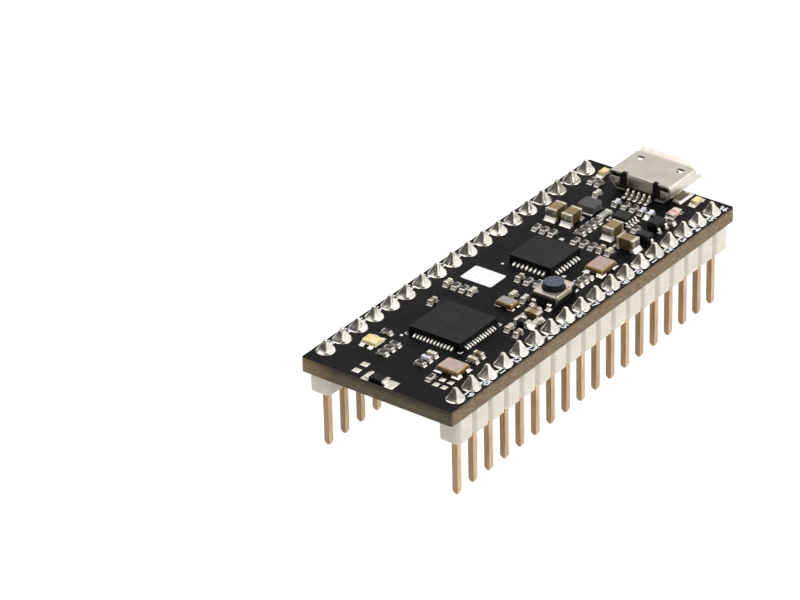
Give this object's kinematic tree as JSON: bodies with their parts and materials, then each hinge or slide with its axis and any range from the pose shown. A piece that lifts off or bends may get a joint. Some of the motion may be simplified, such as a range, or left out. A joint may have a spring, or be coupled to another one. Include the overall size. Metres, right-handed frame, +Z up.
{
  "type": "microcontroller development board",
  "caption": "Small double-row plug-in controller board with square header pins, a micro USB socket at one end, leadless chips, crystals and a press switch.",
  "frame": {"origin": "centre of the two header pin rows, in the plane of the insulators' lower faces that sit on a socket", "axes": "+X along the board towards the USB socket, +Y across the board to the left-hand pin row, +Z up away from the pins"},
  "size_m": [0.0492, 0.0178, 0.013],
  "materials": {
    "laminate": "matt glass-epoxy",
    "mask": "semi-matt black solder mask",
    "gold": "satin gold plating",
    "tin": "bright tin",
    "solder": "bright solder",
    "insulator": "ivory glass-filled nylon",
    "mould_black": "black moulding compound",
    "ceramic_white": "white alumina",
    "ceramic_tan": "tan fired ceramic",
    "ceramic_brown": "brown fired ceramic",
    "ceramic_pale": "pale fired ceramic",
    "ceramic_lilac": "pale lilac ceramic",
    "ceramic_grey": "grey ceramic",
    "ceramic_pink": "pale pink ceramic",
    "overcoat": "black glass overcoat",
    "crystal_base": "dark ceramic",
    "crystal_gold": "gold plated seal ring",
    "crystal_lid": "brushed lid",
    "ferrite_grey": "dark grey ferrite",
    "led_cream": "cream phosphor resin",
    "led_base": "white substrate",
    "switch_steel": "satin steel",
    "plunger": "blue-grey nylon",
    "shell_steel": "satin nickel-plated steel",
    "contact_gold": "gold-flashed contact"
  },
  "bodies": {
    "board": {"pcb_core": "laminate", "solder_mask_top": "mask", "solder_mask_bottom": "mask", "smd_pads": "tin", "plated_holes": "gold", "header_insulator_right": "insulator", "header_insulator_left": "insulator", "header_pins_right": "gold", "header_pins_left": "gold", "solder_joints_right": "solder", "solder_joints_left": "solder", "mcu_body": "mould_black", "mcu_leads": "tin", "usb_bridge_body": "mould_black", "usb_bridge_leads": "tin", "regulator_body": "mould_black", "regulator_leads": "tin", "transistor_bodies": "mould_black", "transistor_leads": "tin", "crystal_bases": "crystal_base", "crystal_seal_rings": "crystal_gold", "crystal_lids": "crystal_lid", "bulk_capacitor_bodies": "ceramic_tan", "bulk_capacitor_ends": "tin", "brown_capacitor_bodies": "ceramic_brown", "pale_capacitor_bodies": "ceramic_pale", "small_capacitor_ends": "tin", "resistor_bodies": "ceramic_white", "resistor_ends": "tin", "resistor_overcoats": "overcoat", "ferrite_bead_bodies": "ceramic_lilac", "ferrite_bead_ends": "tin", "shunt_body": "ceramic_grey", "fuse_body": "ceramic_pink", "diode_body": "mould_black", "end_chip_body": "mould_black", "misc_chip_ends": "tin", "inductor_body": "ferrite_grey", "inductor_terminals": "tin", "rgb_led_base": "led_base", "rgb_led_lens": "led_cream", "status_led_bases": "led_base", "status_led_lenses": "led_cream", "switch_base": "mould_black", "switch_cover": "switch_steel", "switch_dome": "switch_steel", "switch_terminals": "tin", "usb_shell": "shell_steel", "usb_insulator": "mould_black", "usb_contacts": "contact_gold"},
    "button": {"switch_plunger": "plunger"}
  },
  "joints": [
    {"name": "button_press", "type": "slide", "parent": "board", "child": "button", "axis": [0, 0, -1], "range_m": [0, 0.00025], "deforming": ["switch_dome"]}
  ]
}
